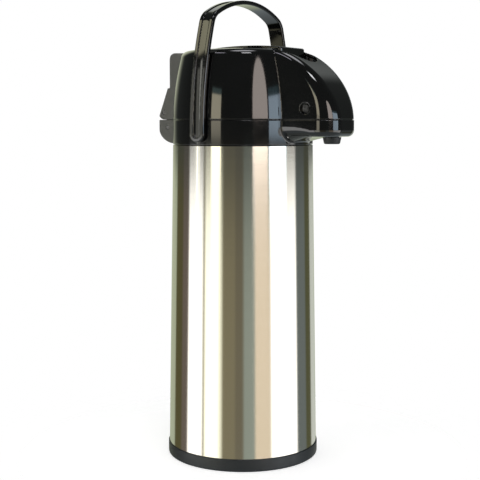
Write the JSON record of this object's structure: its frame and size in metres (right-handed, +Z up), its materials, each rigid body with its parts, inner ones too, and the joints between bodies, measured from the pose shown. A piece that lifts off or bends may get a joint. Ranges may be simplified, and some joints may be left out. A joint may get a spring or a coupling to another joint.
{
  "type": "thermal coffee airpot",
  "caption": "Tall insulated steel drink dispenser with a black pump lid that hinges open, a push button, a spout nose and a folding carrying bail.",
  "frame": {"origin": "centre of the flask's foot, on the face it stands on", "axes": "+Z up along the flask's axis, -Y towards the spout, +Y towards the lid's hinge, X across"},
  "size_m": [0.154, 0.2124, 0.46],
  "materials": {
    "brushed_steel": "fine brushing round the shell, satin",
    "bright_steel": "bright drawn sheet",
    "screw_steel": "zinc plated",
    "spring_steel": "drawn wire",
    "gloss_black": "high gloss moulding",
    "satin_black": "satin moulding",
    "dark_steel": "blackened and polished",
    "matte_black": "fine spark texture",
    "inner_plastic": "satin food-grade moulding",
    "clear_silicone": "translucent silicone",
    "dark_rubber": "matt rubber"
  },
  "bodies": {
    "flask": {"base_ring": "satin_black", "foot_pads": "dark_rubber", "bottom_cover": "matte_black", "base_screws": "screw_steel", "outer_shell": "brushed_steel", "shell_shoulder": "brushed_steel", "shell_bottom": "bright_steel", "vacuum_cap": "bright_steel", "liner": "bright_steel", "liner_floor": "bright_steel", "liner_neck": "bright_steel", "neck_ring": "inner_plastic", "neck_seal": "clear_silicone", "collar": "gloss_black", "collar_gasket": "dark_rubber", "collar_screws": "screw_steel", "stem_tube": "clear_silicone", "stem_elbow": "inner_plastic", "stem_seal": "dark_rubber", "spout_pipe": "inner_plastic", "spout_nozzle": "satin_black", "nozzle_seal": "dark_rubber", "spout_cover": "matte_black", "handle_pins": "screw_steel", "hinge_bracket": "matte_black", "bracket_pin": "dark_steel", "hinge_pin": "dark_steel"},
    "carry_handle": {"handle": "gloss_black"},
    "lid": {"lid_shell": "gloss_black", "button_well": "gloss_black", "hinge_cover": "matte_black", "hinge_screws": "screw_steel", "lid_base": "inner_plastic", "lid_gasket": "clear_silicone", "lid_screws": "screw_steel", "bellows": "dark_rubber", "pump_spring": "spring_steel", "air_valve": "clear_silicone", "latch_pin": "dark_steel", "latch_spring": "spring_steel"},
    "button": {"push_button": "gloss_black", "plunger": "inner_plastic", "inlet_valve": "clear_silicone"},
    "latch": {"latch_lever": "matte_black"}
  },
  "joints": [
    {"name": "lid_open", "type": "hinge", "parent": "flask", "child": "lid", "pos_m": [0, 0.0839, 0.3501], "axis": [1, 0, 0], "range_deg": [-58, 0]},
    {"name": "handle_fold", "type": "hinge", "parent": "flask", "child": "carry_handle", "pos_m": [0, 0, 0.329], "axis": [1, 0, 0], "range_deg": [-139.5, 0]},
    {"name": "button_push", "type": "slide", "parent": "lid", "child": "button", "axis": [0, 0, -1], "range_m": [0, 0.02], "stiffness_N_per_m": 600, "springref_m": -0.006, "deforming": ["bellows", "pump_spring"]},
    {"name": "latch_pull", "type": "hinge", "parent": "lid", "child": "latch", "pos_m": [0, -0.0913, 0.3526], "axis": [1, 0, 0], "range_deg": [0, 7], "stiffness_Nm_per_rad": 0.3, "springref_deg": -20.05}
  ],
  "couplings": [
    {"joint": "handle_fold", "follows": "lid_open", "ratio": 2.4}
  ]
}
